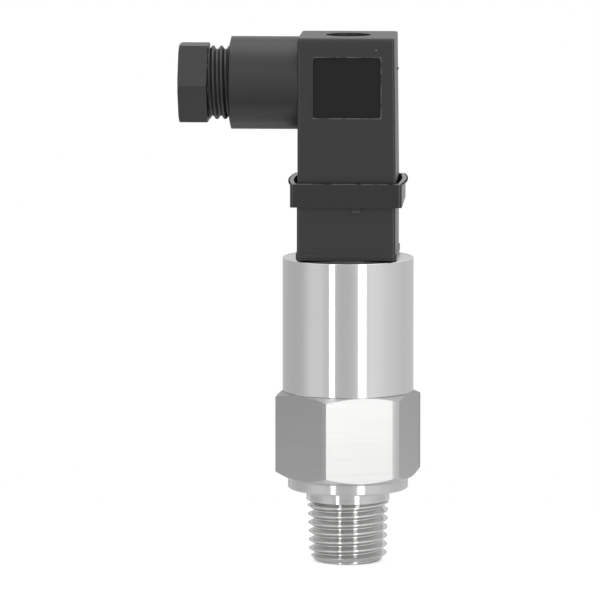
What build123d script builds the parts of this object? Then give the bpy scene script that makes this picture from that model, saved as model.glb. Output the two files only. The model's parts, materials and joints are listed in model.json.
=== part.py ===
from build123d import *
import math
import os

os.makedirs("parts", exist_ok=True)

# Pressure transmitter with a right-angle plug connector, in millimetres.
# The origin is the lower end of the process thread, on the main axis, and +Z is up.
# The cable gland leaves towards -X, and the label recess is on the -Y face.

# Process thread, a 1/4-18 taper thread drawn at its crest
thread_length = 9.7
thread_tip_radius = 6.6
thread_taper = 1 / 32
tip_chamfer = 0.9
relief_radius = 5.95
relief_width = 0.3
neck_radius = 7.1
neck_chamfer = 0.6
neck_length = 2.88
pressure_bore_radius = 2.0

# Hexagon with the sealing collar under it
hex_across_flats = 22.0
hex_turn = 15.5
hex_height = 15.0
hex_top_chamfer = 25.0
hex_foot_chamfer = 30.0
chamfer_crown = 0.03
collar_radius = 10.25
collar_height = 1.72
collar_edge = 0.2

# Sensor seat in the top of the port
seat_depth = 7.6
seat_wall = 1.1
spigot_height = 5.0
spigot_fit = 0.05
cell_fit = 0.1
cell_height = 6.35
cell_notch = 0.7
ring_centre_radius = 5.6
ring_section_radius = 0.75
groove_width = 2.0
clamp_height = 3.0
clamp_opening = 6.0
clamp_fit = 0.05
spanner_slot_width = 1.6
spanner_slot_depth = 1.2

# Case
case_radius = 11.15
case_wall = 0.9
case_height = 23.2
case_top_wall = 1.9
case_edge = 0.1
case_shoulder = 0.25
case_foot_edge = 0.15

# Signal board on the cell's pins
pin_radius = 0.3
pin_circle = 3.5
pin_count = 4
pin_angle = 45.0
pin_stand_out = 0.8
pin_fit = 0.05
board_clearance = 0.85
board_thickness = 1.0
board_lift = 5.3
chip_width = 3.9
chip_length = 4.9
chip_height = 1.2
chip_leg = 0.4
chip_lift = 0.2
capacitor_size = (3.2, 1.6, 1.3)
capacitor_inset = 2.7
pad_inset = 3.0
lead_radius = 0.5
lead_bend = 3.0
lead_end_run = 3.4

# Plug base, held in the case's top wall by a round nut
base_width = 16.7
base_corner = 0.5
base_height = 10.7
base_edge = 0.3
base_foot_height = 0.8
base_foot_overhang = 0.2
base_spigot_shoulder = 2.35
base_spigot_length = 7.4
base_spigot_wall = 1.4
base_spigot_floor = 3.6
base_fit = 0.05
seal_thickness = 0.4
lock_nut_clearance = 0.65
lock_nut_height = 3.0
lock_slot_width = 2.0
lock_slot_depth = 1.2

# Contact blades and the insert for the fixing screw
blade_circle = 4.0
blade_width = 2.8
blade_thickness = 0.5
blade_height = 7.9
blade_tail = 5.9
blade_tip = 0.6
insert_radius = 2.4
insert_length = 8.0
insert_groove = 0.3

# Profile gasket
gasket_side = 1.1
gasket_corner = 0.6
gasket_skirt = 2.0
gasket_web = 0.8
gasket_rim = 1.25
gasket_lip_height = 0.3
gasket_lip_bulge = 0.68
gasket_play = 0.5
gasket_fit = 0.05
gasket_window_play = 0.3
tab_width = 1.4
tab_height = 0.75
tab_offset = 1.7

# Socket housing
housing_height = 25.75
housing_left_inset = 0.1
housing_right_overhang = 0.05
housing_depth_inset = 0.15
housing_right_draft = 0.3
housing_depth_draft = 0.12
housing_corner = 0.4
housing_edge = 0.3
housing_hollow_corner = 1.0
housing_wall = 1.5
housing_roof = 1.6
screw_recess_radius = 3.85
screw_recess_depth = 3.95
boss_radius = 3.1
label_width = 11.4
label_height = 10.2
label_depth = 0.45
label_corner = 0.6
label_drop = 3.3
label_offset = 0.1

# Side tube for the cable
tube_radius = 7.88
tube_drop = 8.22
tube_reach = 20.1
tube_edge_length = 0.28
tube_edge_depth = 1.18
gland_thread_radius = 6.25
gland_fit = 0.05
gland_bore_depth = 8.8
grommet_radius = 5.3
grommet_fit = 0.1
grommet_length = 3.6
cable_radius = 2.5
wire_passage_radius = 3.0

# Gland nut and its washer
nut_across_flats = 13.0
nut_length = 4.9
nut_outer_edge = 0.3
nut_outer_face_inset = 0.6
nut_inner_edge = 0.15
nut_inner_face_inset = 0.35
nut_gap = 3.6
nut_shank = 8.3
nut_bore_radius = 3.2
nut_angle = 30.0
washer_radius = 6.1
washer_opening = 3.3
washer_thickness = 1.0

# Contact carrier with its clips
carrier_play = 0.15
carrier_lift = 0.05
carrier_height = 10.05
carrier_neck_radius = 2.6
carrier_neck_height = 1.5
screw_passage_radius = 1.75
clip_width = 3.6
clip_depth = 2.6
clip_play = 0.05
clip_floor = 1.6
blade_play = 0.05
blade_slot_play = 0.15
clip_block_height = 4.2
terminal_screw_radius = 0.75
terminal_head_radius = 1.25
terminal_head_height = 1.1
terminal_slot = 0.35

# Fixing screw and its seal
screw_radius = 1.5
screw_fit = 0.05
screw_engagement = 6.1
screw_head_radius = 2.75
screw_head_height = 1.8
screw_slot_width = 0.8
screw_slot_depth = 1.0
screw_seal_radius = 3.2
screw_seal_thickness = 0.8

# Heights along the main axis
relief_top = thread_length + relief_width
neck_low = relief_top + neck_chamfer
collar_low = thread_length + neck_length
hex_low = collar_low + collar_height
hex_top = hex_low + hex_height
seat_floor = hex_top - seat_depth
spigot_top = hex_top + spigot_height
cell_top = seat_floor + cell_height
clamp_top = cell_top + clamp_height
board_low = clamp_top + board_lift
board_top = board_low + board_thickness
case_top = hex_top + case_height
top_wall_low = case_top - case_top_wall
base_low = case_top + seal_thickness
base_top = base_low + base_height
spigot_foot = base_low - base_spigot_length
tail_low = base_low - blade_tail
blade_top = base_top + blade_height
gasket_low = base_top - gasket_skirt
socket_low = base_top + gasket_web
gasket_top = socket_low + gasket_rim
socket_top = socket_low + housing_height
recess_floor = socket_top - screw_recess_depth
roof_low = recess_floor - housing_roof
carrier_low = socket_low + carrier_lift
carrier_top = carrier_low + carrier_height
carrier_neck_top = carrier_top + carrier_neck_height
screw_tip = base_top - screw_engagement
head_low = recess_floor + screw_seal_thickness

# Places along the cable axis
cable_height = socket_top - tube_drop
tube_end = -tube_reach
bore_end = tube_end + gland_bore_depth
pocket_end = bore_end + grommet_length
nut_right = tube_end - nut_gap
nut_left = nut_right - nut_length
shank_end = nut_right + nut_shank
washer_right = shank_end + washer_thickness

# Radii and half widths that follow the case and the plug base
bore_radius = case_radius - case_wall
spigot_radius = bore_radius - spigot_fit
seat_radius = spigot_radius - seat_wall
cell_radius = seat_radius - cell_fit
board_radius = bore_radius - board_clearance
pad_circle = board_radius - pad_inset
capacitor_circle = board_radius - capacitor_inset
lock_nut_radius = bore_radius - lock_nut_clearance
base_half = base_width / 2
foot_width = base_width + 2 * base_foot_overhang
foot_corner = base_corner + base_foot_overhang
base_spigot_radius = base_half - base_spigot_shoulder
base_spigot_hollow = base_spigot_radius - base_spigot_wall
housing_left = base_half - housing_left_inset
housing_right = base_half + housing_right_overhang
housing_half_depth = base_half - housing_depth_inset
FROM_LOW = (Align.CENTER, Align.CENTER, Align.MIN)


def disc(radius, low, high):
    """A round solid on the main axis."""
    return Pos(0, 0, low) * Cylinder(radius, high - low, align=FROM_LOW)


def cable_disc(radius, left, right):
    """A round solid on the cable axis."""
    return Pos(left, 0, cable_height) * Rot(0, 90, 0) * Cylinder(radius, right - left, align=FROM_LOW)


def block(width, depth, low, high, x=0.0, y=0.0):
    return Pos(x, y, low) * Box(width, depth, high - low, align=FROM_LOW)


def slab(width, depth, corner, low, high, x=0.0):
    """A square block with rounded upright corners."""
    return extrude(Pos(x, 0, low) * RectangleRounded(width, depth, corner), high - low)


def turned(*points):
    """A solid turned about the main axis from its half section (radius, height)."""
    return revolve(Plane.XZ * make_face(Polyline(*points, close=True)), axis=Axis.Z)


def crowned(*points):
    """A turned solid like the one above, whose sloping lines swell out by the chamfer's crown."""
    lines = []
    for first, second in zip(points, points[1:] + points[:1]):
        if first[0] == second[0] or first[1] == second[1]:
            lines.append(Line(first, second))
        else:
            start = Vector(*first)
            run = Vector(*second) - start
            outwards = Vector(run.Y, -run.X).normalized()
            lines.append(ThreePointArc(start, start + run / 2 + outwards * chamfer_crown, start + run))
    return revolve(Plane.XZ * make_face(lines), axis=Axis.Z)


def around(shape, count, start=0.0):
    """Copies of a shape, evenly spaced about the main axis."""
    return [Rot(0, 0, start + 360 / count * i) * shape for i in range(count)]


def make_pressure_port():
    half_flats = hex_across_flats / 2
    corner = half_flats / math.cos(math.pi / 6)
    reach = corner + 1
    thread_top_radius = thread_tip_radius + thread_taper * thread_length
    foot_rise = (reach - collar_radius) * math.tan(math.radians(hex_foot_chamfer))
    top_fall = (reach - half_flats) * math.tan(math.radians(hex_top_chamfer))
    prism = extrude(
        Pos(0, 0, hex_low) * Rot(0, 0, hex_turn) * RegularPolygon(corner, 6), hex_height
    )
    envelope = crowned(
        (0, hex_low),
        (collar_radius, hex_low),
        (reach, hex_low + foot_rise),
        (reach, hex_top - top_fall),
        (half_flats, hex_top),
        (0, hex_top),
    )
    shank = turned(
        (0, 0),
        (thread_tip_radius - tip_chamfer, 0),
        (thread_tip_radius + thread_taper * tip_chamfer, tip_chamfer),
        (thread_top_radius, thread_length),
        (relief_radius, relief_top),
        (neck_radius, neck_low),
        (neck_radius, collar_low),
        (collar_radius - collar_edge, collar_low),
        (collar_radius, collar_low + collar_edge),
        (collar_radius, hex_low),
        (0, hex_low),
    )
    port = prism & envelope
    port += shank
    port += disc(spigot_radius, hex_top, spigot_top)
    port -= disc(seat_radius, seat_floor, spigot_top)
    groove_low = seat_floor - 2 * ring_section_radius
    port -= disc(ring_centre_radius + groove_width / 2, groove_low, seat_floor) - disc(
        ring_centre_radius - groove_width / 2, groove_low, seat_floor
    )
    port -= disc(pressure_bore_radius, 0, seat_floor)
    return port


def make_sensor_o_ring():
    return Pos(0, 0, seat_floor - ring_section_radius) * Torus(ring_centre_radius, ring_section_radius)


def make_sensor_cell():
    cell = disc(cell_radius, seat_floor, cell_top)
    notch = Pos(cell_radius, 0, 0) * disc(cell_notch, seat_floor, cell_top)
    for cut in around(notch, 3, 90):
        cell -= cut
    return cell


def make_sensor_clamp_ring():
    ring = disc(seat_radius - clamp_fit, cell_top, clamp_top)
    ring -= disc(clamp_opening, cell_top, clamp_top)
    slot_low = clamp_top - spanner_slot_depth
    return ring - block(2 * case_radius, spanner_slot_width, slot_low, clamp_top)


def make_sensor_pins():
    pin = Pos(pin_circle, 0, 0) * disc(pin_radius, cell_top, board_top + pin_stand_out)
    return Compound(children=around(pin, pin_count, pin_angle))


def make_signal_board():
    board = disc(board_radius, board_low, board_top)
    hole = Pos(pin_circle, 0, 0) * disc(pin_radius + pin_fit, board_low, board_top)
    for cut in around(hole, pin_count, pin_angle):
        board -= cut
    return board


def make_amplifier_chip():
    body_low = board_top + chip_lift
    chip = block(chip_width, chip_length, body_low, body_low + chip_height)
    pitch = chip_length / 4
    for side in (-1, 1):
        for row in range(4):
            across = side * chip_width / 2
            along = (row - 1.5) * pitch
            chip += block(chip_leg, chip_leg, board_top, body_low + chip_leg, across, along)
    return chip


def make_board_capacitors():
    length, width, height = capacitor_size
    piece = block(width, length, board_top, board_top + height, capacitor_circle)
    return Compound(children=around(piece, 4, 45))


def make_plug_leads():
    first = (pad_circle, board_top)
    second = (pad_circle, board_top + lead_end_run)
    third = (blade_circle, tail_low - lead_end_run)
    last = (blade_circle, tail_low)
    route = Plane.XZ * FilletPolyline(first, second, third, last, radius=lead_bend)
    start = Plane(origin=route @ 0, z_dir=route % 0)
    lead = sweep(start * Circle(lead_radius), path=route)
    return Compound(children=around(lead, 4))


def make_case_sleeve():
    return turned(
        (bore_radius, hex_top),
        (case_radius - case_foot_edge, hex_top),
        (case_radius, hex_top + case_foot_edge),
        (case_radius, case_top - case_shoulder - case_edge),
        (case_radius - case_edge, case_top - case_shoulder),
        (base_half, case_top),
        (base_spigot_radius + base_fit, case_top),
        (base_spigot_radius + base_fit, top_wall_low),
        (bore_radius, top_wall_low),
    )


def make_base_lock_nut():
    nut_low = top_wall_low - lock_nut_height
    nut = disc(lock_nut_radius, nut_low, top_wall_low)
    nut -= disc(base_spigot_radius + base_fit, nut_low, top_wall_low)
    slot = block(2 * case_radius, lock_slot_width, nut_low, nut_low + lock_slot_depth)
    return nut - slot - Rot(0, 0, 90) * slot


def make_base_seal():
    seal = slab(foot_width, foot_width, foot_corner, case_top, base_low)
    return seal - disc(base_spigot_radius + base_fit, case_top, base_low)


def blade_shape():
    """One contact blade, standing on the blade circle with its broad side outwards."""
    blade = block(blade_thickness, blade_width, tail_low, blade_top, blade_circle)
    tips = blade.edges().filter_by(Axis.X).group_by(Axis.Z)[-1]
    return chamfer(tips, blade_tip)


def make_plug_base():
    body = slab(base_width, base_width, base_corner, base_low, base_top)
    body = chamfer(body.faces().sort_by(Axis.Z)[-1].edges(), base_edge)
    body += slab(foot_width, foot_width, foot_corner, base_low, base_low + base_foot_height)
    body += disc(base_spigot_radius, spigot_foot, base_low)
    body -= disc(base_spigot_hollow, spigot_foot, spigot_foot + base_spigot_floor)
    body -= disc(insert_radius, base_top - insert_length, base_top)
    slot = block(blade_thickness, blade_width, spigot_foot, base_top, blade_circle)
    for cut in around(slot, 4):
        body -= cut
    return body


def make_screw_insert():
    low = base_top - insert_length
    insert = disc(insert_radius, low, base_top)
    waist_low = low + insert_length * 0.4
    waist_high = low + insert_length * 0.6
    waist = disc(insert_radius, waist_low, waist_high)
    waist -= disc(insert_radius - insert_groove, waist_low, waist_high)
    return insert - waist - disc(screw_radius + screw_fit, low, base_top)


def make_profile_gasket():
    outer = base_width + 2 * gasket_side
    lip_low = gasket_top - gasket_lip_height
    gasket = slab(outer, outer, gasket_corner, gasket_low, gasket_top)
    half = outer / 2
    ends = half - gasket_corner
    left = ThreePointArc((-half, ends), (-half - gasket_lip_bulge, 0), (-half, -ends))
    right = ThreePointArc((half, -ends), (half + gasket_lip_bulge, 0), (half, ends))
    lip = make_face([left, Line((-half, -ends), (half, -ends)), right, Line((half, ends), (-half, ends))])
    gasket += extrude(Pos(0, 0, lip_low) * lip, gasket_lip_height, dir=(0, 0, 1))
    lower = base_width + 2 * gasket_fit
    gasket -= slab(lower, lower, base_corner + gasket_fit, gasket_low, base_top)
    gasket -= slab(
        housing_left + housing_right + 2 * gasket_play,
        2 * (housing_half_depth + gasket_play),
        housing_corner + gasket_play,
        socket_low,
        gasket_top,
        (housing_right - housing_left) / 2,
    )
    gasket -= disc(insert_radius, base_top, socket_low)
    window = block(
        blade_thickness + 2 * gasket_window_play,
        blade_width + 2 * gasket_window_play,
        base_top,
        socket_low,
        blade_circle,
    )
    for cut in around(window, 4):
        gasket -= cut
    inner = -base_half - gasket_fit
    front = -outer / 2
    tab = block(
        tab_width, inner - front, gasket_low - tab_height, gasket_low, tab_offset, (inner + front) / 2
    )
    return gasket + tab


def make_socket_housing():
    width = housing_left + housing_right
    middle = (housing_right - housing_left) / 2
    lower = Pos(middle, 0, socket_low) * RectangleRounded(width, 2 * housing_half_depth, housing_corner)
    upper = Pos(middle - housing_right_draft / 2, 0, socket_top) * RectangleRounded(
        width - housing_right_draft,
        2 * (housing_half_depth - housing_depth_draft),
        housing_corner,
    )
    body = loft([lower, upper])
    body = fillet(body.faces().sort_by(Axis.Z)[-1].edges(), housing_edge)
    body += cable_disc(tube_radius, tube_end + tube_edge_length, 0)
    body += Pos(tube_end, 0, cable_height) * Rot(0, 90, 0) * Cone(
        tube_radius - tube_edge_depth, tube_radius, tube_edge_length, align=FROM_LOW
    )
    body -= slab(
        width - 2 * housing_wall - housing_right_draft,
        2 * (housing_half_depth - housing_wall),
        housing_hollow_corner,
        socket_low,
        roof_low,
        middle - housing_right_draft / 2,
    )
    body += disc(boss_radius, carrier_neck_top, roof_low)
    body -= disc(screw_radius + 3 * screw_fit, carrier_neck_top, recess_floor)
    body -= disc(screw_recess_radius, recess_floor, socket_top)
    body -= cable_disc(gland_thread_radius + gland_fit, tube_end, bore_end)
    body -= cable_disc(grommet_radius + grommet_fit, bore_end, pocket_end)
    body -= cable_disc(wire_passage_radius, pocket_end, housing_wall - housing_left)
    label_middle = socket_top - label_drop - label_height / 2
    label = Pos(label_offset, -housing_half_depth - 1, label_middle) * Box(
        label_width, 2 * (label_depth + 1), label_height
    )
    label = fillet(label.edges().filter_by(Axis.Y), label_corner)
    return body - label


def make_contact_carrier():
    width = housing_left + housing_right - 2 * housing_wall - housing_right_draft - 2 * carrier_play
    depth = 2 * (housing_half_depth - housing_wall - carrier_play)
    middle = (housing_right - housing_left - housing_right_draft) / 2
    carrier = slab(width, depth, housing_hollow_corner, carrier_low, carrier_top, middle)
    carrier += disc(carrier_neck_radius, carrier_top, carrier_neck_top)
    carrier -= disc(screw_passage_radius, carrier_low, carrier_neck_top)
    pocket_low = carrier_low + clip_floor
    pocket = block(
        clip_depth + 2 * clip_play, clip_width + 2 * clip_play, pocket_low, carrier_top, blade_circle
    )
    slot = block(
        blade_thickness + 2 * blade_slot_play,
        blade_width + 2 * blade_slot_play,
        carrier_low,
        pocket_low,
        blade_circle,
    )
    for cut in around(pocket + slot, 4):
        carrier -= cut
    return carrier


def clip_shape():
    """One contact clip: a spring sleeve round the blade under a wire clamp."""
    low = carrier_low + clip_floor
    clip = block(clip_depth, clip_width, low, carrier_top, blade_circle)
    clip -= block(
        blade_thickness + 2 * blade_play,
        blade_width + 2 * blade_play,
        low,
        blade_top + blade_play,
        blade_circle,
    )
    clip -= Pos(blade_circle, 0, 0) * disc(
        terminal_screw_radius + blade_play, carrier_top - clip_block_height / 2, carrier_top
    )
    return clip


def make_terminal_screws():
    shank_low = carrier_top - clip_block_height / 2
    head_top = carrier_top + terminal_head_height
    screw = disc(terminal_screw_radius, shank_low, carrier_top)
    screw += disc(terminal_head_radius, carrier_top, head_top)
    screw -= block(2 * terminal_head_radius, terminal_slot, head_top - 2 * terminal_slot, head_top)
    return Compound(children=around(Pos(blade_circle, 0, 0) * screw, 4))


def make_gland_grommet():
    return cable_disc(grommet_radius, bore_end, pocket_end) - cable_disc(
        cable_radius, bore_end, pocket_end
    )


def make_gland_washer():
    return cable_disc(washer_radius, shank_end, washer_right) - cable_disc(
        washer_opening, shank_end, washer_right
    )


def make_gland_nut():
    corner = nut_across_flats / 2 / math.cos(math.pi / 6)
    prism = extrude(Rot(0, 0, nut_angle) * RegularPolygon(corner, 6), nut_length)
    envelope = crowned(
        (0, 0),
        (corner - nut_outer_face_inset, 0),
        (corner, nut_outer_edge),
        (corner, nut_length - nut_inner_edge),
        (corner - nut_inner_face_inset, nut_length),
        (0, nut_length),
    )
    nut = Pos(nut_left, 0, cable_height) * Rot(0, 90, 0) * (prism & envelope)
    nut += cable_disc(gland_thread_radius, nut_right, shank_end)
    return nut - cable_disc(nut_bore_radius, nut_left, shank_end)


def make_screw_seal():
    seal = disc(screw_seal_radius, recess_floor, head_low)
    return seal - disc(screw_radius + screw_fit, recess_floor, head_low)


def make_fixing_screw():
    head_top = head_low + screw_head_height
    screw = disc(screw_radius, screw_tip, head_low)
    head = disc(screw_head_radius, head_low, head_top)
    head = fillet(head.edges().sort_by(Axis.Z)[-1], screw_head_height * 0.3)
    head -= block(2 * screw_head_radius, screw_slot_width, head_top - screw_slot_depth, head_top)
    return screw + head


pieces = {
    "pressure_port": make_pressure_port(),
    "sensor_o_ring": make_sensor_o_ring(),
    "sensor_cell": make_sensor_cell(),
    "sensor_clamp_ring": make_sensor_clamp_ring(),
    "sensor_pins": make_sensor_pins(),
    "signal_board": make_signal_board(),
    "amplifier_chip": make_amplifier_chip(),
    "board_capacitors": make_board_capacitors(),
    "plug_leads": make_plug_leads(),
    "case_sleeve": make_case_sleeve(),
    "base_lock_nut": make_base_lock_nut(),
    "base_seal": make_base_seal(),
    "plug_base": make_plug_base(),
    "screw_insert": make_screw_insert(),
    "profile_gasket": make_profile_gasket(),
    "socket_housing": make_socket_housing(),
    "contact_carrier": make_contact_carrier(),
    "terminal_screws": make_terminal_screws(),
    "gland_grommet": make_gland_grommet(),
    "gland_washer": make_gland_washer(),
    "gland_nut": make_gland_nut(),
    "screw_seal": make_screw_seal(),
    "fixing_screw": make_fixing_screw(),
}

places = ("contact_{}_1", "contact_{}_2", "contact_{}_3", "earth_{}")
for name, blade, clip in zip(places, around(blade_shape(), 4), around(clip_shape(), 4)):
    pieces[name.format("blade")] = blade
    pieces[name.format("clip")] = clip

for name, shape in pieces.items():
    export_step(shape, f"parts/{name}.step")
    print(name, round(shape.volume, 2))
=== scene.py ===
# %% [markdown]
# Pressure transmitter with a right-angle plug connector.
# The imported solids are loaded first, because every piece below takes its place and size from
# them. All lengths are in metres, in the frame of the solids: +Z runs up the main axis from the
# lower end of the process thread, the cable gland leaves towards -X, and -Y faces the camera.

# %% Load the frame
import bmesh
import bpy
import json
import math
from mathutils import Matrix, Vector


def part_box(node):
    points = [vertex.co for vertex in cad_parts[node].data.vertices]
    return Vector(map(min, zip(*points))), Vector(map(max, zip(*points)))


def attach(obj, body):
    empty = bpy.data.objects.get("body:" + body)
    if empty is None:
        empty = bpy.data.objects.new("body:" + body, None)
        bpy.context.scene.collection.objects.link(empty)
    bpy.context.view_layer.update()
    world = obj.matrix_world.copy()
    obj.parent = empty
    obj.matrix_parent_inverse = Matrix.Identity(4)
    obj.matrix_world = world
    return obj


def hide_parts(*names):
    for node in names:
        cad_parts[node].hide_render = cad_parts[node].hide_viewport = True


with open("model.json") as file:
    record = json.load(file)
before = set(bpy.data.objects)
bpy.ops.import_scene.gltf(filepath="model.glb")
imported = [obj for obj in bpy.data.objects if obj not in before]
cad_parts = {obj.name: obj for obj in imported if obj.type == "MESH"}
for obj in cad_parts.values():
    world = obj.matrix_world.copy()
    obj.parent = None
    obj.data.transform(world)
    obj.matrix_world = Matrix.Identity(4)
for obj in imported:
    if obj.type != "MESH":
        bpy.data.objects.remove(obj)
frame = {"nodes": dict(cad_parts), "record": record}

nodes = frame["nodes"]
record = frame["record"]
scene = bpy.context.scene
MM = 0.001
BODY_OF = {node: body for body, held in record["behaviour"]["bodies"].items() for node in held}
SLOT_OF = {part["node"]: part["material_slot"] for part in record["subparts"]}


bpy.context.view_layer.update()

# %% [markdown]
# The camera. The picture was taken from about a metre away with a long lens, a little above the
# object and a little to its right, so upright edges stay upright and only a sliver of the right
# side shows. These values come from fitting the outlines of the steel parts and the housing.

# %% Camera
CAMERA_DISTANCE = 1.0698
CAMERA_PITCH = math.radians(7.037)
CAMERA_YAW = math.radians(2.941)
CAMERA_LENS = 376.7
AIM_ACROSS = -8.194 * MM
AIM_HEIGHT = 44.808 * MM


def add_camera():
    """A long lens that looks at the middle of the picture from its measured direction."""
    across = Vector((math.cos(CAMERA_YAW), math.sin(CAMERA_YAW), 0))
    back = Vector((
        math.sin(CAMERA_YAW) * math.cos(CAMERA_PITCH),
        -math.cos(CAMERA_YAW) * math.cos(CAMERA_PITCH),
        math.sin(CAMERA_PITCH),
    ))
    aim = across * AIM_ACROSS + Vector((0, 0, AIM_HEIGHT))
    data = bpy.data.cameras.new("camera")
    data.lens = CAMERA_LENS
    data.sensor_width = 36
    data.clip_end = 20
    camera = bpy.data.objects.new("camera", data)
    camera.location = aim + back * CAMERA_DISTANCE
    camera.rotation_euler = (-back).to_track_quat("-Z", "Y").to_euler()
    scene.collection.objects.link(camera)
    scene.camera = camera
    return camera


camera = add_camera()
print("camera stands at", [round(value, 3) for value in camera.location])

# %% [markdown]
# Small helpers for node trees. Every material and every geometry tree below is written with
# them, so that a line of the script reads like a line of arithmetic.

# %% Node helpers


def link_node(tree, kind, values=None, links=None):
    """Adds a node, sets its sockets and links others into it. Names or numbers find sockets."""
    node = tree.nodes.new(kind)
    for key, value in (values or {}).items():
        node.inputs[key].default_value = value
    for key, source in (links or {}).items():
        tree.links.new(source, node.inputs[key])
    return node


def calculate(tree, operation, *operands, clamp=False):
    """A Math node. Each operand is a number or a socket. It returns the result's socket."""
    node = tree.nodes.new("ShaderNodeMath")
    node.operation = operation
    node.use_clamp = clamp
    for index, operand in enumerate(operands):
        if isinstance(operand, (int, float)):
            node.inputs[index].default_value = operand
        else:
            tree.links.new(operand, node.inputs[index])
    return node.outputs[0]


def vector_sum(tree, operation, first, second=None, scale=None):
    """A Vector Math node. Scale is the number by which SCALE multiplies the first vector."""
    node = tree.nodes.new("ShaderNodeVectorMath")
    node.operation = operation
    tree.links.new(first, node.inputs[0])
    if second is not None:
        tree.links.new(second, node.inputs[1])
    if scale is not None:
        tree.links.new(scale, node.inputs[3])
    return node.outputs["Value" if operation == "DOT_PRODUCT" else "Vector"]


def sum_of_squares(tree, first, second):
    return calculate(
        tree, "ADD", *[calculate(tree, "MULTIPLY", value, value) for value in (first, second)]
    )


def ramp(tree, factor, stops):
    """A colour ramp with (place, grey) stops."""
    node = tree.nodes.new("ShaderNodeValToRGB")
    elements = node.color_ramp.elements
    while len(elements) < len(stops):
        elements.new(0.5)
    for element, (place, shade) in zip(elements, stops):
        element.position = place
        element.color = (shade, shade, shade, 1)
    tree.links.new(factor, node.inputs[0])
    return node.outputs[0]


def new_tree(name, kind, inputs, outputs):
    """A node group with (name, socket type, default) inputs and (name, socket type) outputs."""
    tree = bpy.data.node_groups.new(name, kind)
    for label, socket, default in inputs:
        item = tree.interface.new_socket(label, in_out="INPUT", socket_type=socket)
        if default is not None:
            item.default_value = default
    for label, socket in outputs:
        tree.interface.new_socket(label, in_out="OUTPUT", socket_type=socket)
    return tree, tree.nodes.new("NodeGroupInput").outputs, tree.nodes.new("NodeGroupOutput").inputs


print("node helpers are ready")

# %% [markdown]
# The studio. Polished steel shows its surroundings more than its own colour, so the room is
# built as a thing to be mirrored: its grey depends on the bearing round the object, measured
# from the camera's direction. A cylinder mirrors what lies at twice the angle of its own slope,
# so each grey band on the case gives the grey of one stretch of the room.
# Matt surfaces get one soft light from all round, and a camera ray that misses sees white.
# Both are stronger from above than from below, as the tube shows: it is darkest underneath.

# %% Room
ROOM_LIGHT = 0.54
ROOM_TILT = 0.72
# (bearing in degrees, grey), from behind the object on the left, past the camera, to the right
ROOM_GREYS = (
    (-180, 0.60), (-150, 0.605), (-123, 0.57), (-104, 0.56), (-90, 0.59), (-78, 0.73), (-70, 0.81),
    (-49, 0.80), (-40, 0.69), (-20, 0.62), (-5, 0.60), (5, 0.63), (12, 0.70), (18, 0.84),
    (34, 0.88), (43, 0.94), (58, 0.90), (72, 0.83), (88, 0.78), (112, 0.70), (150, 0.70), (180, 0.62),
)


def build_room():
    world = bpy.data.worlds.new("studio")
    scene.world = world
    world.use_nodes = True
    tree = world.node_tree
    tree.nodes.clear()
    way = link_node(
        tree, "ShaderNodeSeparateXYZ", links={0: tree.nodes.new("ShaderNodeTexCoord").outputs["Generated"]}
    )
    bearing = calculate(
        tree, "ARCTAN2", way.outputs["X"], calculate(tree, "MULTIPLY", way.outputs["Y"], -1.0)
    )
    turn = calculate(tree, "SUBTRACT", bearing, CAMERA_YAW)
    place = calculate(tree, "MULTIPLY_ADD", turn, 1 / (2 * math.pi), 0.5)
    greys = ramp(tree, place, [(angle / 360 + 0.5, grey) for angle, grey in ROOM_GREYS])
    tilt = calculate(tree, "MULTIPLY_ADD", way.outputs["Z"], ROOM_TILT, 1.0)
    path = tree.nodes.new("ShaderNodeLightPath").outputs
    mirrored = calculate(tree, "MAXIMUM", path["Is Glossy Ray"], path["Is Transmission Ray"])
    seen = link_node(tree, "ShaderNodeBackground", {"Color": (1, 1, 1, 1), "Strength": 1.0})
    room = link_node(tree, "ShaderNodeBackground", links={"Color": greys, "Strength": tilt})
    soft = link_node(
        tree,
        "ShaderNodeBackground",
        {"Color": (1, 1, 1, 1)},
        {"Strength": calculate(tree, "MULTIPLY", tilt, ROOM_LIGHT)},
    )
    light = link_node(
        tree, "ShaderNodeMixShader", links={0: mirrored, 1: soft.outputs[0], 2: room.outputs[0]}
    )
    whole = link_node(
        tree,
        "ShaderNodeMixShader",
        links={0: path["Is Camera Ray"], 1: light.outputs[0], 2: seen.outputs[0]},
    )
    link_node(tree, "ShaderNodeOutputWorld", links={"Surface": whole.outputs[0]})


build_room()
scene.view_settings.view_transform = "Standard"
print("the room has", len(ROOM_GREYS), "greys")

# %% [markdown]
# The floor. It is a small pale plate under the thread's lower end, which keeps the soft shadow
# there. It glows a little for the camera and for mirrored rays, so that it reads as white.

# %% Floor
FLOOR_SIZE = 0.12
FLOOR_LEVEL = -0.05 * MM
FLOOR_GLOW = 0.50
MIRRORED_GLOW = 0.10
FLOOR_COLOUR = (0.82, 0.82, 0.82, 1)


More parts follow.
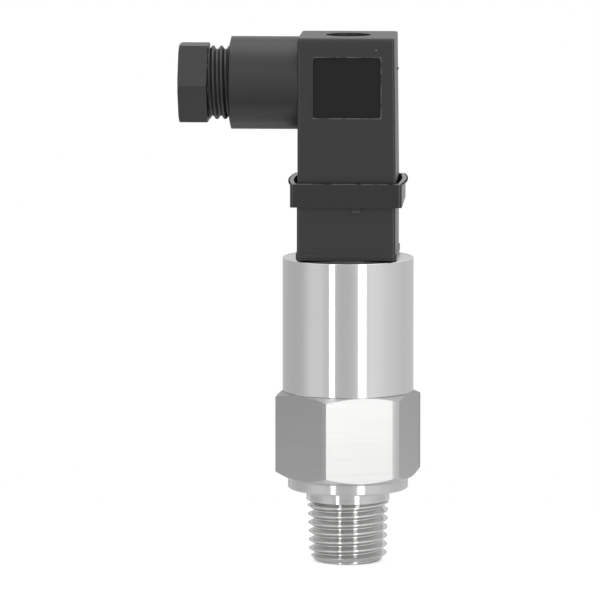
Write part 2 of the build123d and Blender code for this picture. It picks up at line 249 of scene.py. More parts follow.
def add_floor():
    mesh = bpy.data.meshes.new("floor")
    half = FLOOR_SIZE / 2
    mesh.from_pydata(
        [(side * half, deep * half, FLOOR_LEVEL) for side, deep in ((-1, -1), (1, -1), (1, 1), (-1, 1))],
        [],
        [(0, 1, 2, 3)],
    )
    floor = bpy.data.objects.new("floor", mesh)
    scene.collection.objects.link(floor)
    material = bpy.data.materials.new("pale floor")
    material.use_nodes = True
    tree = material.node_tree
    tree.nodes.clear()
    path = tree.nodes.new("ShaderNodeLightPath").outputs
    matt = link_node(tree, "ShaderNodeBsdfDiffuse", {"Color": FLOOR_COLOUR})
    mirrored = calculate(tree, "MAXIMUM", path["Is Glossy Ray"], path["Is Transmission Ray"])
    strength = calculate(
        tree,
        "MULTIPLY_ADD",
        path["Is Camera Ray"],
        FLOOR_GLOW,
        calculate(tree, "MULTIPLY", mirrored, MIRRORED_GLOW),
    )
    glow = link_node(tree, "ShaderNodeEmission", {"Color": (1, 1, 1, 1)}, {"Strength": strength})
    both = link_node(tree, "ShaderNodeAddShader", links={0: matt.outputs[0], 1: glow.outputs[0]})
    link_node(tree, "ShaderNodeOutputMaterial", links={"Surface": both.outputs[0]})
    mesh.materials.append(material)


add_floor()
print("the floor is", FLOOR_SIZE, "m wide")

# %% [markdown]
# The lamps. Two tall strips stand left and right of the camera, as far from the object, and draw
# the two white stripes down the case. A broad soft lamp from above fills the top faces.

# %% Lamps
LAMP_DISTANCE = 1.1
# (name, bearing and breadth in degrees, power in watts)
STRIPS = (("left strip", -28.8, 7.4, 2.9), ("right strip", 24.8, 11.6, 4.5))
STRIP_HEIGHT = 1.8
STRIP_LEVEL = 0.10
TOP_PLACE = (0.1, 0.1, 1.0)
TOP_SIZE = (0.9, 0.6)
TOP_POWER = 1.5
LAMP_AIM = (0, 0, 0.05)


def add_area(name, location, target, width, height, power):
    data = bpy.data.lights.new(name, "AREA")
    data.shape = "RECTANGLE"
    data.size = width
    data.size_y = height
    data.energy = power
    lamp = bpy.data.objects.new(name, data)
    lamp.location = location
    lamp.rotation_euler = (Vector(location) - Vector(target)).to_track_quat("Z", "Y").to_euler()
    scene.collection.objects.link(lamp)
    return lamp


for name, bearing, breadth, power in STRIPS:
    turn = math.radians(bearing) + CAMERA_YAW
    place = Vector((math.sin(turn), -math.cos(turn), 0)) * LAMP_DISTANCE + Vector((0, 0, STRIP_LEVEL))
    width = 2 * LAMP_DISTANCE * math.tan(math.radians(breadth / 2))
    add_area(name, place, LAMP_AIM, width, STRIP_HEIGHT, power)
add_area("top soft lamp", TOP_PLACE, LAMP_AIM, *TOP_SIZE, TOP_POWER)

# %% [markdown]
# Two surface effects are shared by several materials.
# Turned marks are the fine rings that a lathe tool or a belt leaves: noise that changes fast
# along the main axis and slowly round it. The rings also blur a reflection along the axis and
# leave it sharp round the axis, so each steel material is given a tangent that runs round.
# Moulded skin is the fine, even unevenness of a moulded plastic surface, with a few light
# flecks of dust.

# %% Shared surface effects
# the share of the places for a fleck that stay clean
CLEAN_SHARE = 0.72


def object_place(tree):
    """The point on the surface, in the frame of the solids, as three sockets and as one."""
    whole = tree.nodes.new("ShaderNodeTexCoord").outputs["Object"]
    return whole, link_node(tree, "ShaderNodeSeparateXYZ", links={0: whole}).outputs


def noise(tree, place, scale, detail, roughness=0.5):
    node = link_node(tree, "ShaderNodeTexNoise", {"Detail": detail, "Roughness": roughness}, {0: place})
    if isinstance(scale, (int, float)):
        node.inputs["Scale"].default_value = scale
    else:
        tree.links.new(scale, node.inputs["Scale"])
    return node.outputs[0]


def turned_marks():
    """Rings round the main axis. Fineness is in rings per metre and Depth in metres."""
    tree, given, result = new_tree(
        "turned marks",
        "ShaderNodeTree",
        (
            ("Fineness", "NodeSocketFloat", 6000.0),
            ("Depth", "NodeSocketFloat", 0.000004),
            ("Streak length", "NodeSocketFloat", 60.0),
        ),
        (("Rings", "NodeSocketFloat"), ("Normal", "NodeSocketVector"), ("Tangent", "NodeSocketVector")),
    )
    whole, axis = object_place(tree)
    across = [calculate(tree, "MULTIPLY", axis[name], given["Streak length"]) for name in ("X", "Y")]
    along = calculate(tree, "MULTIPLY", axis["Z"], given["Fineness"])
    stretched = link_node(
        tree, "ShaderNodeCombineXYZ", links={"X": across[0], "Y": across[1], "Z": along}
    )
    rings = noise(tree, stretched.outputs[0], 1.0, 4.0, 0.6)
    bump = link_node(
        tree, "ShaderNodeBump", {"Strength": 1.0}, {"Distance": given["Depth"], "Height": rings}
    )
    back = calculate(tree, "MULTIPLY", axis["Y"], -1.0)
    tangent = link_node(tree, "ShaderNodeCombineXYZ", {"Z": 0.0}, {"X": back, "Y": axis["X"]})
    tree.links.new(rings, result["Rings"])
    tree.links.new(bump.outputs[0], result["Normal"])
    tree.links.new(tangent.outputs[0], result["Tangent"])
    return tree


def moulded_skin():
    """Fine even unevenness. Grain is in grains per metre and Depth in metres."""
    tree, given, result = new_tree(
        "moulded skin",
        "ShaderNodeTree",
        (
            ("Grain", "NodeSocketFloat", 5000.0),
            ("Depth", "NodeSocketFloat", 0.000006),
            ("Flecks", "NodeSocketFloat", 350.0),
            ("Fleck size", "NodeSocketFloat", 0.05),
        ),
        (("Skin", "NodeSocketFloat"), ("Normal", "NodeSocketVector"), ("Dust", "NodeSocketFloat")),
    )
    whole, axis = object_place(tree)
    skin = noise(tree, whole, given["Grain"], 3.0)
    bump = link_node(
        tree, "ShaderNodeBump", {"Strength": 1.0}, {"Distance": given["Depth"], "Height": skin}
    )
    cells = link_node(tree, "ShaderNodeTexVoronoi", links={"Vector": whole, "Scale": given["Flecks"]})
    near = calculate(tree, "LESS_THAN", cells.outputs["Distance"], given["Fleck size"])
    chance = link_node(tree, "ShaderNodeSeparateXYZ", links={0: cells.outputs["Color"]})
    chosen = calculate(tree, "GREATER_THAN", chance.outputs["X"], CLEAN_SHARE)
    dust = calculate(tree, "MULTIPLY", near, chosen)
    tree.links.new(skin, result["Skin"])
    tree.links.new(bump.outputs[0], result["Normal"])
    tree.links.new(dust, result["Dust"])
    return tree


TURNED = turned_marks()
MOULDED = moulded_skin()
print("shared effects:", TURNED.name, "and", MOULDED.name)

# %% [markdown]
# The materials, one function for each kind. Steel is a metal whose grey is set by its colour and
# by the room. The plastics and rubbers are nearly black: what shows on them is mostly the thin
# mirrored light at their surface, which grows at a grazing angle and makes the top faces and the
# right sides pale. Three soft forms are shading alone, too fine for the solid: the hexagon's flats
# have a round right margin, the housing's top edge is softened, and the rubber lip is a bead whose
# crest is a painted highlight. The pale edges of the label recess and of the rubber are painted highlights
# too.

# %% Materials
FLATS_RADIUS = 10.95 * MM
# the thread was cut with a finer tool than the rest, so it is brighter
THREAD_TOP = 11.6 * MM
THREAD_ROUGHNESS = 0.12
# the bearing of one flat, half a flat's breadth, the width of its round margin, and its lean
HEX_BEARING = math.radians(-74.5)
HEX_HALF_FLAT = 6.351 * MM
HEX_ROUND = 1.3 * MM
HEX_LEAN = math.radians(9)
HEX_CURVE = 0.6
# a face belongs to a flat where its direction is at least this much like the flat's
FLAT_LIKENESS = 0.85
# the label recess's left, right, lower and upper edge, and the depth behind which its floor lies
LABEL_EDGES = (-5.6 * MM, 5.8 * MM, 76.65 * MM, 86.85 * MM)
LABEL_DEPTH = -7.85 * MM
# the width of the painted highlight along the label recess's top, right and lower edges
HIGHLIGHT_BAND_WIDTH = 0.12 * MM
# the housing's top edge is softened over this height, but not round the screw recess
HOUSING_TOP = 90.1 * MM
TOP_ROUND = 0.8 * MM
TOP_CURVE = 1.5
RECESS_ROOM = 6.0 * MM
# the collar's lip bulges left and right as an arc of this radius and reach; its crest is a band of painted
# highlight
LIP_RADIUS = 57.9 * MM
LIP_REACH = 10.13 * MM
LIP_HEIGHT = 65.55 * MM
LIP_CREST = (0.24 * MM, 0.95 * MM)
# how much of the painted highlight shows on the rubber's front edges
HIGHLIGHT_SHARE = 0.6
# patches a metre, contrast and start of the painted highlight on the label's edge and on the rubber
LABEL_HIGHLIGHT_PATCHES = (900.0, 6.0, -2.4)
RUBBER_HIGHLIGHT_PATCHES = (700.0, 5.0, -1.7)
# how much surfaces shine, and how much less the label's floor and the lip's flanks do
SHINE = 0.5
LABEL_DULLNESS = 0.35
FLANK_DULLNESS = 0.5


def effect(tree, group, **values):
    """Puts one of the shared effects into a material."""
    node = tree.nodes.new("ShaderNodeGroup")
    node.node_tree = group
    for name, value in values.items():
        node.inputs[name.replace("_", " ")].default_value = value
    return node.outputs


def blank_material(name):
    material = bpy.data.materials.new(name)
    material.use_nodes = True
    material.node_tree.nodes.clear()
    return material, material.node_tree


def finish_material(tree, values, links):
    surface = link_node(tree, "ShaderNodeBsdfPrincipled", values, links)
    link_node(tree, "ShaderNodeOutputMaterial", links={"Surface": surface.outputs[0]})


def mix_colour(tree, factor, first, second):
    """Goes from the first colour to the second. Each is three numbers or a socket."""
    node = tree.nodes.new("ShaderNodeMix")
    node.data_type = "RGBA"
    tree.links.new(factor, node.inputs["Factor"])
    for key, colour in (("A", first), ("B", second)):
        if isinstance(colour, (tuple, list)):
            node.inputs[key].default_value = (*colour, 1)
        else:
            tree.links.new(colour, node.inputs[key])
    return node.outputs["Result"]


def dusted(tree, colour, grain, depth, dust):
    """The moulded skin's outputs, and the colour with light flecks of dust on it."""
    skin = effect(tree, MOULDED, Grain=grain, Depth=depth)
    return skin, mix_colour(tree, skin["Dust"], colour, [value + dust for value in colour])


def highlight_patches(tree, whole, patches, contrast, start):
    """1 where an edge gets its painted highlight and 0 where it doesn't, in soft patches."""
    wear = noise(tree, whole, patches, 1.0)
    return calculate(tree, "MULTIPLY_ADD", wear, contrast, start, clamp=True)


def facing_of(tree, direction):
    """A direction given in the frame of the solids, turned with the piece."""
    place = tree.nodes.new("ShaderNodeVectorTransform")
    place.vector_type = "NORMAL"
    place.convert_from = "OBJECT"
    place.convert_to = "WORLD"
    tree.links.new(direction, place.inputs[0])
    return place.outputs[0]


def hexagon_corner_normal(tree, axis, radius, outside, normal):
    """The normal, turned towards the next flat along the right margin of each flat, seen from
    outside: the bar was drawn with that margin slightly round."""
    bearing = calculate(tree, "ARCTAN2", axis["Y"], axis["X"])
    turn = calculate(tree, "SUBTRACT", bearing, HEX_BEARING)
    folded = calculate(tree, "WRAP", turn, math.radians(30), math.radians(-30))
    across = calculate(tree, "MULTIPLY", radius, calculate(tree, "SINE", folded))
    past = calculate(tree, "SUBTRACT", across, HEX_HALF_FLAT - HEX_ROUND)
    share = calculate(tree, "DIVIDE", past, HEX_ROUND, clamp=True)
    lean = calculate(tree, "MULTIPLY", calculate(tree, "POWER", share, HEX_CURVE), HEX_LEAN)
    facing = calculate(tree, "ADD", calculate(tree, "SUBTRACT", bearing, folded), lean)
    bent = link_node(
        tree,
        "ShaderNodeCombineXYZ",
        links={"X": calculate(tree, "COSINE", facing), "Y": calculate(tree, "SINE", facing)},
    )
    bent = facing_of(tree, bent.outputs[0])
    true = tree.nodes.new("ShaderNodeNewGeometry").outputs["Normal"]
    # a face of the hexagon's sloping ends is left as it is
    along = vector_sum(tree, "DOT_PRODUCT", bent, true)
    upright = calculate(tree, "GREATER_THAN", along, FLAT_LIKENESS)
    part = calculate(tree, "MULTIPLY", upright, outside)
    change = vector_sum(tree, "SUBTRACT", bent, true)
    change = vector_sum(tree, "SCALE", change, scale=part)
    return vector_sum(tree, "NORMALIZE", vector_sum(tree, "ADD", normal, change))


def steel(name, colour, roughness, fineness, depth, streak, spread, flats=None):
    """Turned steel. Spread is how much lighter and darker the rings are. What lies outside the
    collar's radius is a brushed flat, whose roughness is given as flats."""
    material, tree = blank_material(name)
    marks = effect(tree, TURNED, Fineness=fineness, Depth=depth, Streak_length=streak)
    low = [value * (1 - spread) for value in colour]
    high = [min(1.0, value * (1 + spread)) for value in colour]
    links = {
        "Base Color": mix_colour(tree, marks["Rings"], low, high),
        "Normal": marks["Normal"],
        "Tangent": marks["Tangent"],
    }
    if flats:
        axis = object_place(tree)[1]
        radius = calculate(tree, "SQRT", sum_of_squares(tree, axis["X"], axis["Y"]))
        outside = calculate(tree, "GREATER_THAN", radius, FLATS_RADIUS)
        below = calculate(tree, "LESS_THAN", axis["Z"], THREAD_TOP)
        turned = calculate(tree, "MULTIPLY_ADD", below, THREAD_ROUGHNESS - roughness, roughness)
        links["Roughness"] = calculate(tree, "MULTIPLY_ADD", outside, flats - roughness, turned)
        links["Normal"] = hexagon_corner_normal(tree, axis, radius, outside, marks["Normal"])
    finish_material(
        tree,
        {"Metallic": 1.0, "Roughness": roughness, "Anisotropic": 1.0, "Anisotropic Rotation": 0.25},
        links,
    )
    return material


def moulded(name, colour, roughness, grain, depth, dust=0.0):
    """Moulded plastic or rubber. Dust is how light the flecks are."""
    material, tree = blank_material(name)
    skin, fleck = dusted(tree, colour, grain, depth, dust)
    finish_material(
        tree, {"Roughness": roughness, "IOR": 1.5}, {"Base Color": fleck, "Normal": skin["Normal"]}
    )
    return material


def inside(tree, axis, edges):
    """1 where the surface lies between the left, right, lower and upper edge, seen from the front."""
    tests = [
        calculate(tree, "GREATER_THAN", axis["X"], edges[0]),
        calculate(tree, "LESS_THAN", axis["X"], edges[1]),
        calculate(tree, "GREATER_THAN", axis["Z"], edges[2]),
        calculate(tree, "LESS_THAN", axis["Z"], edges[3]),
    ]
    across = calculate(tree, "MULTIPLY", tests[0], tests[1])
    upright = calculate(tree, "MULTIPLY", tests[2], tests[3])
    return calculate(tree, "MULTIPLY", across, upright)


def rounded_below_top(tree, axis, normal):
    """The normal of the housing's outer sides, leant upwards just below its rounded top edge."""
    true = tree.nodes.new("ShaderNodeNewGeometry").outputs["Normal"]
    up = link_node(tree, "ShaderNodeCombineXYZ", {"Z": 1.0})
    up = facing_of(tree, up.outputs[0])
    upright = calculate(tree, "LESS_THAN", vector_sum(tree, "DOT_PRODUCT", up, true), 0.5)
    share = calculate(
        tree, "MULTIPLY_ADD", axis["Z"], 1 / TOP_ROUND, 1 - HOUSING_TOP / TOP_ROUND, clamp=True
    )
    outer = calculate(
        tree, "GREATER_THAN", sum_of_squares(tree, axis["X"], axis["Y"]), RECESS_ROOM**2
    )
    lean = calculate(tree, "MULTIPLY", calculate(tree, "POWER", share, TOP_CURVE), upright)
    lean = calculate(tree, "MULTIPLY", lean, outer)
    lean = vector_sum(tree, "SCALE", up, scale=lean)
    return vector_sum(tree, "NORMALIZE", vector_sum(tree, "ADD", normal, lean))


def moulded_with_label(name, colour, roughness, grain, depth, dust, floor, painted_highlight):
    """The housing's plastic. The label recess has a smooth, darker floor and a painted highlight along its
    edge.
    """
    material, tree = blank_material(name)
    skin, fleck = dusted(tree, colour, grain, depth, dust)
    whole, axis = object_place(tree)
    low = calculate(tree, "GREATER_THAN", axis["Y"], LABEL_DEPTH)
    front = calculate(tree, "LESS_THAN", axis["Y"], LABEL_DEPTH / 2)
    recess = calculate(tree, "MULTIPLY", inside(tree, axis, LABEL_EDGES), front)
    # a thin band along the recess's top, right and lower edges gets a painted highlight, broken into
    # patches
    grown = [edge + HIGHLIGHT_BAND_WIDTH * side for edge, side in zip(LABEL_EDGES, (0, 1, -1, 1))]
    rim = calculate(tree, "MULTIPLY", inside(tree, axis, grown), front)
    rim = calculate(tree, "SUBTRACT", rim, recess, clamp=True)
    rim = calculate(tree, "MULTIPLY", rim, highlight_patches(tree, whole, *LABEL_HIGHLIGHT_PATCHES))
    recess = calculate(tree, "MULTIPLY", recess, low)
    painted = mix_colour(tree, recess, mix_colour(tree, rim, fleck, painted_highlight), floor)
    shine = calculate(tree, "MULTIPLY_ADD", recess, -LABEL_DULLNESS, SHINE)
    finish_material(
        tree,
        {"Roughness": roughness, "IOR": 1.5},
        {
            "Base Color": painted,
            "Normal": rounded_below_top(tree, axis, skin["Normal"]),
            "Specular IOR Level": shine,
        },
    )
    return material


def rubber(name, colour, roughness, grain, depth, dust, painted_highlight, highlight_bands):
    """Moulded rubber. The front edges of the collar and of its tab carry a painted highlight in places:
    each band is a left, right, lower and upper edge."""
    material, tree = blank_material(name)
    skin, fleck = dusted(tree, colour, grain, depth, dust)
    whole, axis = object_place(tree)
    front = calculate(tree, "LESS_THAN", axis["Y"], LABEL_DEPTH)
    # the bands along the front edges get a painted highlight, broken into patches
    masks = [inside(tree, axis, band) for band in highlight_bands]
    lit_patches = highlight_patches(tree, whole, *RUBBER_HIGHLIGHT_PATCHES)
    highlight_mask = calculate(tree, "MULTIPLY", calculate(tree, "MAXIMUM", *masks), front)
    highlight_mask = calculate(tree, "MULTIPLY", highlight_mask, calculate(tree, "MULTIPLY", lit_patches, HIGHLIGHT_SHARE))
    # the lip is a bead: its crest catches the light, and it falls away dark on both sides
    beyond = calculate(tree, "ADD", calculate(tree, "ABSOLUTE", axis["X"]), LIP_RADIUS - LIP_REACH)
    outward = calculate(tree, "SQRT", sum_of_squares(tree, beyond, axis["Y"]))
    inward = calculate(tree, "SUBTRACT", LIP_RADIUS, outward)
    tests = [
        calculate(tree, "GREATER_THAN", inward, LIP_CREST[0]),
        calculate(tree, "LESS_THAN", inward, LIP_CREST[1]),
        calculate(tree, "GREATER_THAN", axis["Z"], LIP_HEIGHT),
    ]
    crest = calculate(tree, "MULTIPLY", calculate(tree, "MULTIPLY", tests[0], tests[1]), tests[2])
    # the edge bands and the lip's crest are both painted in the pale highlight grey
    painted = mix_colour(tree, calculate(tree, "MAXIMUM", highlight_mask, crest), fleck, painted_highlight)
    flank = calculate(tree, "MULTIPLY", tests[2], calculate(tree, "SUBTRACT", 1.0, crest))
    shine = calculate(tree, "MULTIPLY_ADD", flank, -FLANK_DULLNESS, SHINE)
    finish_material(
        tree,
        {"Roughness": roughness, "IOR": 1.5},
        {"Base Color": painted, "Normal": skin["Normal"], "Specular IOR Level": shine},
    )
    return material


def plain(name, colour, roughness, metallic=0.0):
    material, tree = blank_material(name)
    finish_material(
        tree, {"Base Color": (*colour, 1), "Roughness": roughness, "Metallic": metallic}, {}
    )
    return material


MATERIALS = {
    "steel": steel("brushed steel", (0.62, 0.62, 0.615), 0.24, 5200, 0.000003, 40, 0.08, flats=0.50),
    "case_steel": steel("turned case steel", (0.76, 0.76, 0.755), 0.18, 3000, 0.0000006, 12, 0.025),
    "nut_steel": plain("plated steel", (0.62, 0.62, 0.62), 0.35, 1.0),
    # the pale grey is the painted highlight on the front edges and on the lip's crest
    "seal_rubber": rubber(
        "seal rubber", (0.018, 0.018, 0.018), 0.24, 6000, 0.000004, 0.2, painted_highlight=(0.15, 0.15, 0.15),
        highlight_bands=(
            (-9.4 * MM, 9.4 * MM, 65.50 * MM, 65.80 * MM),
            (1.0 * MM, 2.45 * MM, 60.80 * MM, 60.98 * MM),
        ),
    ),
    "cell_ceramic": plain("cell ceramic", (0.85, 0.84, 0.81), 0.6),
    "contact_metal": plain("contact metal", (0.72, 0.62, 0.38), 0.3, 1.0),
    "board": plain("board resin", (0.03, 0.16, 0.07), 0.5),
    "chip": plain("chip body", (0.02, 0.02, 0.02), 0.5),
    "capacitor": plain("capacitor body", (0.35, 0.25, 0.14), 0.5),
    "lead": plain("lead insulation", (0.4, 0.03, 0.025), 0.5),
    "base_plastic": moulded("base plastic", (0.022, 0.022, 0.022), 0.30, 5000, 0.000003, 0.15),
    # the pale grey is the painted highlight along the label recess's edge
    "housing_plastic": moulded_with_label(
        "housing plastic", (0.020, 0.020, 0.020), 0.34, 5200, 0.000003, 0.2,
        floor=(0.014, 0.014, 0.014), painted_highlight=(0.12, 0.12, 0.12),
    ),
    "gland_plastic": moulded("gland plastic", (0.023, 0.023, 0.023), 0.38, 5200, 0.000004, 0.15),
}
for name, node in nodes.items():
    node.data.materials.clear()
    node.data.materials.append(MATERIALS[SLOT_OF[name]])
print(len(MATERIALS), "materials on", len(nodes), "solids")

# %% [markdown]
# Rounded copies. A real edge is never sharp: it is broken by a file, or comes out of the mould
# with a small radius, and that radius is what catches the light. Each visible solid is copied
# with its doubled corners joined and its flat faces made whole, its edges are rounded, and
# the normals are weighted by area so that flat faces stay flat. The housing also gets the small
# scar that is left where the plastic was let into the mould.

# %% Rounded copies
SHARP_ANGLE = math.radians(35)
JOIN_DISTANCE = 0.002 * MM
FLAT_ANGLE = math.radians(0.3)


def copied_form(name):
    """The solid as an editable form, its doubled corners joined and its flat faces whole."""
    form = bmesh.new()
    form.from_mesh(nodes[name].data)
    form.transform(nodes[name].matrix_world)
    bmesh.ops.remove_doubles(form, verts=form.verts, dist=JOIN_DISTANCE)
    bmesh.ops.dissolve_limit(
        form, angle_limit=FLAT_ANGLE, use_dissolve_boundaries=False, verts=form.verts, edges=form.edges
    )
    return form


def as_mesh(form, name):
    mesh = bpy.data.meshes.new(name)
    form.to_mesh(mesh)
    form.free()
    return mesh


def settled(holder):
    """The holder's mesh with its modifiers worked in. The holder is then removed."""
    bpy.context.view_layer.update()
    graph = bpy.context.evaluated_depsgraph_get()
    mesh = bpy.data.meshes.new_from_object(
        holder.evaluated_get(graph), preserve_all_data_layers=True, depsgraph=graph
    )
    bpy.data.objects.remove(holder)
    return mesh


def rounded(mesh, width, segments=3):
    """The mesh with its sharp edges rounded to about that width."""
    mesh.shade_smooth()
    holder = bpy.data.objects.new("rounding", mesh)
    scene.collection.objects.link(holder)
    bevel = holder.modifiers.new("edges", "BEVEL")
    bevel.width = width
    bevel.segments = segments
    bevel.limit_method = "ANGLE"
    bevel.angle_limit = SHARP_ANGLE
    bevel.use_clamp_overlap = True
    normals = holder.modifiers.new("normals", "WEIGHTED_NORMAL")
    normals.keep_sharp = True
    return settled(holder)


def add_piece(mesh, name, *stands_for, material=None):
    """Shows a mesh in place of these solids, on the body of the first."""
    first = stands_for[0]
    piece = bpy.data.objects.new(name, mesh)
    scene.collection.objects.link(piece)
    mesh.materials.clear()
    mesh.materials.append(material or MATERIALS[SLOT_OF[first]])
    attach(piece, BODY_OF[first])
    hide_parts(*stands_for)
    print(name, "has", len(mesh.polygons), "faces")
    return piece


ROUNDED = {
    "case_sleeve": 0.12, "base_seal": 0.15, "plug_base": 0.15, "profile_gasket": 0.15,
    "socket_housing": 0.12, "gland_washer": 0.1, "screw_seal": 0.1,
}
# the small scar that the mould's gate left on the right side: x, y and z of its middle, and radius
GATE_SCAR = ((8.18 * MM, 3.5 * MM, 84.15 * MM), 0.27 * MM)


def visible_form(name):
    """The solid's copy with what is too small for the solid."""
    form = copied_form(name)
    if name == "socket_housing":
        middle, radius = GATE_SCAR
        bmesh.ops.create_icosphere(
            form, subdivisions=3, radius=radius, matrix=Matrix.Translation(middle)
        )
    return form


for name, width in ROUNDED.items():
    add_piece(rounded(as_mesh(visible_form(name), name), width * MM), name + "_rounded", name)

# %% [markdown]
# The screw threads. A thread is one profile that climbs as it goes round, so it is made as one
# grid sheared along the helix: columns go round, rows climb, and a whole turn of shear is one
# pitch. Rows that fall below the start or above the end lie flat in the end faces. The same tree
# makes the process thread, the gland nut's thread and the fixing screw's.

# %% Thread tree
THREAD_SHARP_ANGLE = math.radians(25)
END_STEEPNESS = 20.0
SPARE_TURNS = 4


def thread_tree():
    number = "NodeSocketFloat"
    tree, given, result = new_tree(
        "screw thread",
        "GeometryNodeTree",
        (
            ("Pitch", number, 1.0 * MM),
            ("Length", number, 10.0 * MM),
            ("Crest radius", number, 5.0 * MM),
            ("Taper", number, 0.0),
            ("Depth", number, 0.6 * MM),
            ("Crest share", number, 0.1),
            ("Root share", number, 0.1),
            ("Phase", number, 0.0),
            ("Tip radius", number, 4.5 * MM),
            ("Tip slope", number, 1.0),
            ("End radius", number, 4.5 * MM),
            ("Run-out length", number, 0.5 * MM),
            ("Bore radius", number, 1.0 * MM),
            ("Segments", "NodeSocketInt", 96),
            ("Rows a turn", "NodeSocketInt", 16),
            ("Material", "NodeSocketMaterial", None),
        ),
        (("Geometry", "NodeSocketGeometry"),),
    )
    pitch, length = given["Pitch"], given["Length"]
    turns = calculate(
        tree, "ADD", calculate(tree, "CEIL", calculate(tree, "DIVIDE", length, pitch)), SPARE_TURNS
    )
    rows = calculate(tree, "MULTIPLY_ADD", turns, given["Rows a turn"], 1.0)
    columns = calculate(tree, "ADD", given["Segments"], 1.0)
    grid = link_node(
        tree,
        "GeometryNodeMeshGrid",
        {"Size X": 1.0, "Size Y": 1.0},
        {"Vertices X": columns, "Vertices Y": rows},
    )
    place = link_node(
        tree, "ShaderNodeSeparateXYZ", links={0: tree.nodes.new("GeometryNodeInputPosition").outputs[0]}
    ).outputs
    around = calculate(tree, "ADD", place["X"], 0.5)
    climb = calculate(tree, "MULTIPLY", calculate(tree, "ADD", place["Y"], 0.5), turns)
    raised = calculate(tree, "SUBTRACT", calculate(tree, "ADD", climb, around), SPARE_TURNS / 2)
    raw = calculate(tree, "MULTIPLY", raised, pitch)
    height = calculate(tree, "MINIMUM", calculate(tree, "MAXIMUM", raw, 0.0), length)

    # 0 in the root and 1 on the crest
    part = calculate(tree, "FRACT", calculate(tree, "ADD", climb, given["Phase"]))
    lean = calculate(tree, "ABSOLUTE", calculate(tree, "MULTIPLY_ADD", part, 2.0, -1.0))
    rise = calculate(tree, "SUBTRACT", calculate(tree, "SUBTRACT", 1.0, lean), given["Root share"])
    flank = calculate(
        tree, "SUBTRACT", calculate(tree, "SUBTRACT", 1.0, given["Root share"]), given["Crest share"]
    )
    fullness = calculate(tree, "DIVIDE", rise, flank, clamp=True)

    crest = calculate(tree, "MULTIPLY_ADD", height, given["Taper"], given["Crest radius"])
    hollow = calculate(tree, "MULTIPLY", calculate(tree, "SUBTRACT", 1.0, fullness), given["Depth"])
    profile = calculate(tree, "SUBTRACT", crest, hollow)
    tip = calculate(tree, "MULTIPLY_ADD", height, given["Tip slope"], given["Tip radius"])
    cut = calculate(tree, "MINIMUM", profile, tip)
    left = calculate(tree, "SUBTRACT", length, height)
    kept = calculate(tree, "DIVIDE", left, given["Run-out length"], clamp=True)
    gap = calculate(tree, "SUBTRACT", cut, given["End radius"])
    wall = calculate(tree, "MULTIPLY_ADD", gap, kept, given["End radius"])

    # rows outside the length run inwards to the bore
    outside = calculate(tree, "ABSOLUTE", calculate(tree, "SUBTRACT", raw, height))
    inwards = calculate(tree, "MULTIPLY", outside, END_STEEPNESS)
    radius = calculate(tree, "MAXIMUM", calculate(tree, "SUBTRACT", wall, inwards), given["Bore radius"])
    angle = calculate(tree, "MULTIPLY", around, 2 * math.pi)
    turned = link_node(
        tree,
        "ShaderNodeCombineXYZ",
        links={
            "X": calculate(tree, "MULTIPLY", radius, calculate(tree, "COSINE", angle)),
            "Y": calculate(tree, "MULTIPLY", radius, calculate(tree, "SINE", angle)),
            "Z": height,
        },
    )
    skin = link_node(
        tree, "GeometryNodeSetPosition", links={"Geometry": grid.outputs[0], "Position": turned.outputs[0]}
    )
    bore = link_node(
        tree,
        "GeometryNodeMeshCylinder",
        links={"Vertices": given["Segments"], "Radius": given["Bore radius"], "Depth": length},
    )
    bore.fill_type = "NONE"
    middle = link_node(
        tree, "ShaderNodeCombineXYZ", links={"Z": calculate(tree, "MULTIPLY", length, 0.5)}
    )
    lifted = link_node(
        tree,
        "GeometryNodeTransform",
        links={"Geometry": bore.outputs["Mesh"], "Translation": middle.outputs[0]},
    )
    wall_in = link_node(tree, "GeometryNodeFlipFaces", links={0: lifted.outputs[0]})
    both = tree.nodes.new("GeometryNodeJoinGeometry")
    for part_of_it in (skin, wall_in):
        tree.links.new(part_of_it.outputs[0], both.inputs[0])
    joined = link_node(
        tree, "GeometryNodeMergeByDistance", {"Distance": JOIN_DISTANCE}, {0: both.outputs[0]}
    )
    real = link_node(tree, "GeometryNodeRealizeInstances", links={0: joined.outputs[0]})
    painted = link_node(
        tree, "GeometryNodeSetMaterial", links={"Geometry": real.outputs[0], "Material": given["Material"]}
    )
    tree.links.new(painted.outputs[0], result["Geometry"])
    return tree


THREAD = thread_tree()


def thread_mesh(material, **values):
    """One thread as a plain mesh that starts at the origin and runs up +Z."""
    holder = bpy.data.objects.new("thread", bpy.data.meshes.new("thread"))
    scene.collection.objects.link(holder)
    modifier = holder.modifiers.new("thread", "NODES")
    modifier.node_group = THREAD
    sockets = {
        item.name: item.identifier
        for item in THREAD.interface.items_tree
        if item.item_type == "SOCKET" and item.in_out == "INPUT"
    }
    modifier[sockets["Material"]] = material
    for name, value in values.items():
        modifier[sockets[name.replace("_", " ").replace("Run out", "Run-out")]] = value
    mesh = settled(holder)
    mesh.shade_smooth()
    mesh.set_sharp_from_angle(angle=THREAD_SHARP_ANGLE)
    return mesh


print("thread tree has", len(THREAD.nodes), "nodes")

# %% [markdown]
# The pressure port. The hexagon, collar and neck come from the solid, cut off above the thread,
# and the thread stands under them. It is a tapered, right-handed pipe thread whose crests rise
# to the right, with a bevelled tip. At its top it runs out into the neck, past the cut.

# %% Pressure port
PORT_THREAD = {
    "Pitch": 1.475 * MM, "Length": 10.75 * MM, "Crest_radius": 6.64 * MM, "Taper": 1 / 32,
    "Depth": 1.08 * MM, "Crest_share": 0.14, "Root_share": 0.06, "Phase": 0.586,
    "Tip_radius": 5.50 * MM, "Tip_slope": 0.95, "End_radius": 5.95 * MM, "Run_out_length": 0.3 * MM,
    "Bore_radius": 2.0 * MM, "Segments": 120, "Rows_a_turn": 16,
}
PORT_CUT = 10.05 * MM


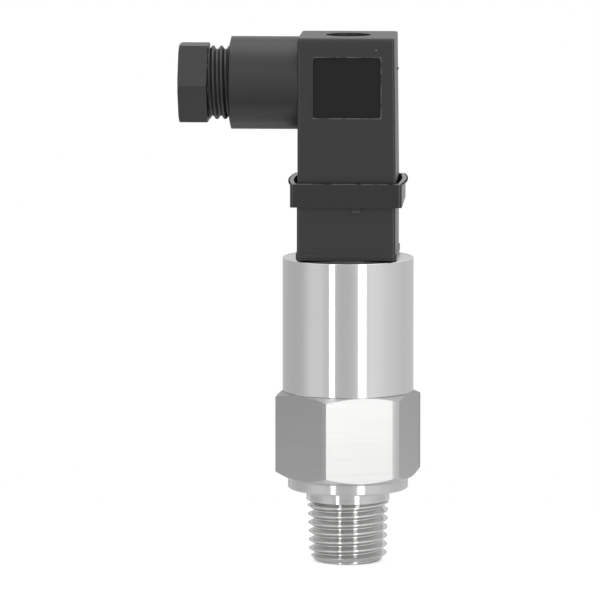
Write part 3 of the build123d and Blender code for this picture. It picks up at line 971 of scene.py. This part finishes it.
def cut_below(form, point, normal):
    """Removes what lies below the plane and closes the cut, round any bore."""
    bmesh.ops.bisect_plane(
        form,
        geom=form.verts[:] + form.edges[:] + form.faces[:],
        plane_co=point,
        plane_no=normal,
        clear_inner=True,
    )
    rim = [edge for edge in form.edges if edge.is_boundary]
    bmesh.ops.triangle_fill(form, use_beauty=True, edges=rim, normal=-Vector(normal))


def joined(first, second, name):
    """Two meshes as one. Both keep their own normals and sharp edges."""
    holders = [bpy.data.objects.new(name, mesh) for mesh in (first, second)]
    for holder in holders:
        scene.collection.objects.link(holder)
    with bpy.context.temp_override(
        active_object=holders[0], selected_objects=holders, selected_editable_objects=holders
    ):
        bpy.ops.object.join()
    mesh = holders[0].data
    bpy.data.objects.remove(holders[0])
    return mesh


def port_mesh():
    form = copied_form("pressure_port")
    cut_below(form, (0, 0, PORT_CUT), (0, 0, 1))
    upper = rounded(as_mesh(form, "port"), 0.1 * MM)
    return joined(upper, thread_mesh(MATERIALS["steel"], **PORT_THREAD), "port")


add_piece(port_mesh(), "port_with_thread", "pressure_port")

# %% [markdown]
# The gland nut. Its hexagon comes from the solid, and the male thread that screws into the tube
# is the same tree, laid along the cable axis with the nut's inner face as its start.

# %% Gland nut
nut_low, nut_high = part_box("gland_nut")
NUT_THREAD_LENGTH = 8.3 * MM
# the end stops just short of the washer, so that the two faces aren't drawn in one place
END_GAP = 0.03 * MM
# the cut goes just past the face, so that the face itself goes too
CUT_STEP = 0.001 * MM
NUT_FACE = nut_high[0] - NUT_THREAD_LENGTH
CABLE_HEIGHT = (nut_low[2] + nut_high[2]) / 2
NUT_THREAD = {
    "Pitch": 1.4 * MM, "Length": NUT_THREAD_LENGTH - END_GAP, "Crest_radius": 6.25 * MM,
    "Depth": 0.55 * MM, "Crest_share": 0.25, "Root_share": 0.25, "Phase": 0.4643, "Tip_radius": 5.70 * MM,
    "Tip_slope": 2.0, "End_radius": 5.6 * MM, "Run_out_length": 0.6 * MM,
    "Bore_radius": 3.2 * MM, "Segments": 96, "Rows_a_turn": 14,
}


def nut_mesh():
    form = copied_form("gland_nut")
    cut_below(form, (NUT_FACE + CUT_STEP, 0, CABLE_HEIGHT), (-1, 0, 0))
    head = rounded(as_mesh(form, "nut"), 0.12 * MM)
    thread = thread_mesh(MATERIALS["gland_plastic"], **NUT_THREAD)
    lay = Matrix.Translation((NUT_FACE, 0, CABLE_HEIGHT)) @ Matrix.Rotation(math.pi / 2, 4, "Y")
    thread.transform(lay)
    return joined(head, thread, "nut")


add_piece(nut_mesh(), "nut_with_thread", "gland_nut")

# %% [markdown]
# The fixing screw. Only its slotted head shows in the recess, but the thread comes into view
# when the plug is pulled off, so its lower end carries it.

# %% Fixing screw
screw_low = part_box("fixing_screw")[0]
SCREW_THREAD = {
    "Pitch": 0.5 * MM, "Length": 11.0 * MM, "Crest_radius": 1.5 * MM, "Depth": 0.3 * MM,
    "Crest_share": 0.12, "Root_share": 0.12, "Phase": 0.0, "Tip_radius": 1.15 * MM,
    "Tip_slope": 1.0, "End_radius": 1.3 * MM, "Run_out_length": 0.5 * MM,
    "Bore_radius": 0.0, "Segments": 40, "Rows_a_turn": 12,
}


def screw_mesh():
    form = copied_form("fixing_screw")
    cut_below(form, (0, 0, screw_low[2] + SCREW_THREAD["Length"]), (0, 0, 1))
    head = rounded(as_mesh(form, "screw"), 0.08 * MM)
    thread = thread_mesh(MATERIALS["nut_steel"], **SCREW_THREAD)
    thread.transform(Matrix.Translation((0, 0, screw_low[2])))
    return joined(head, thread, "screw")


add_piece(screw_mesh(), "screw_with_thread", "fixing_screw")
